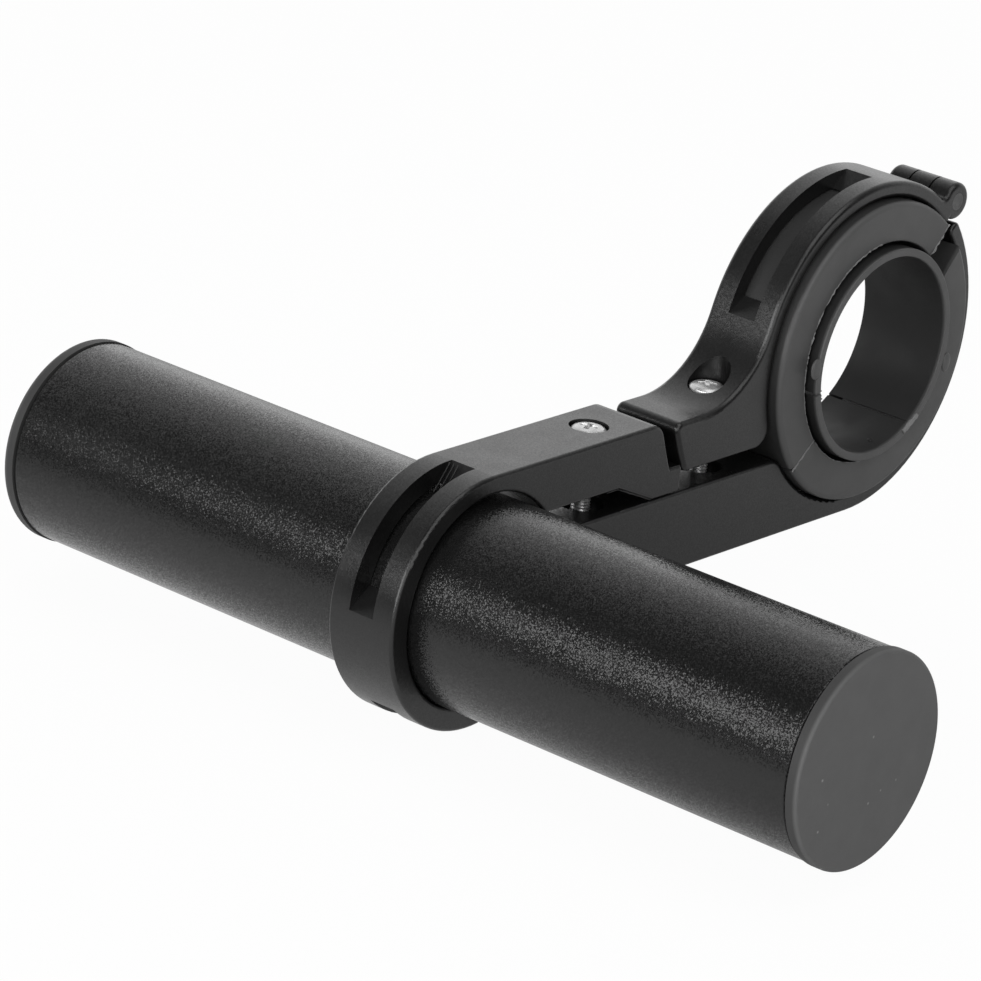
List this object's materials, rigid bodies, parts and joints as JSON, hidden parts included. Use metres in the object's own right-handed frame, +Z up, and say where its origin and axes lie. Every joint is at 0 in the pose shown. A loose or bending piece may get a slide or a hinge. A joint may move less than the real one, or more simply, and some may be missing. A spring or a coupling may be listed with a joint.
{
  "type": "handlebar extender",
  "caption": "Short bar carried in front of a handlebar by a slotted clamp: a screwed collar on the bar, an arm, and a hinged ring with rubber bushes for the handlebar.",
  "frame": {"origin": "centre of the handlebar clamp's bore", "axes": "+X along the handlebar and the extension bar, +Y from the extension bar towards the handlebar, +Z up with the arm level"},
  "size_m": [0.1522, 0.1356, 0.0682],
  "materials": {
    "bar_black": "black anodised, fine grain",
    "cap_grey": "matt moulded plastic",
    "clamp_black": "finely grained moulded plastic",
    "bush_rubber": "smooth moulded rubber",
    "inner_rubber": "smooth moulded rubber",
    "zinc": "zinc plated",
    "pin_steel": "plain drawn"
  },
  "bodies": {
    "clamp": {"clamp_body": "clamp_black", "hinge_pin": "pin_steel", "front_nut": "zinc", "rear_nut": "zinc", "outer_bush_lower": "bush_rubber", "inner_bush_long": "inner_rubber", "inner_bush_short": "inner_rubber"},
    "bar": {"extension_tube": "bar_black", "end_cap_left": "cap_grey", "end_cap_right": "cap_grey"},
    "jaw": {"rear_jaw": "clamp_black", "outer_bush_upper": "bush_rubber"},
    "collar_screw": {"front_screw": "zinc"},
    "jaw_screw": {"rear_screw": "zinc"}
  },
  "joints": [
    {"name": "rear_jaw_hinge", "type": "hinge", "parent": "clamp", "child": "jaw", "pos_m": [0, 0.01972, 0.02071], "axis": [-1, 0, 0], "range_deg": [0, 1.5]},
    {"name": "jaw_screw_travel", "type": "slide", "parent": "clamp", "child": "jaw_screw", "axis": [0, 0, 1], "range_m": [0, 0.0016]},
    {"name": "collar_screw_travel", "type": "slide", "parent": "clamp", "child": "collar_screw", "axis": [0, 0, 1], "range_m": [0, 0.003]},
    {"name": "bar_slide", "type": "slide", "parent": "clamp", "child": "bar", "axis": [1, 0, 0], "range_m": [-0.066, 0.066]}
  ],
  "couplings": [
    {"joint": "jaw_screw_travel", "follows": "rear_jaw_hinge", "m_per_rad": 0.0565}
  ]
}
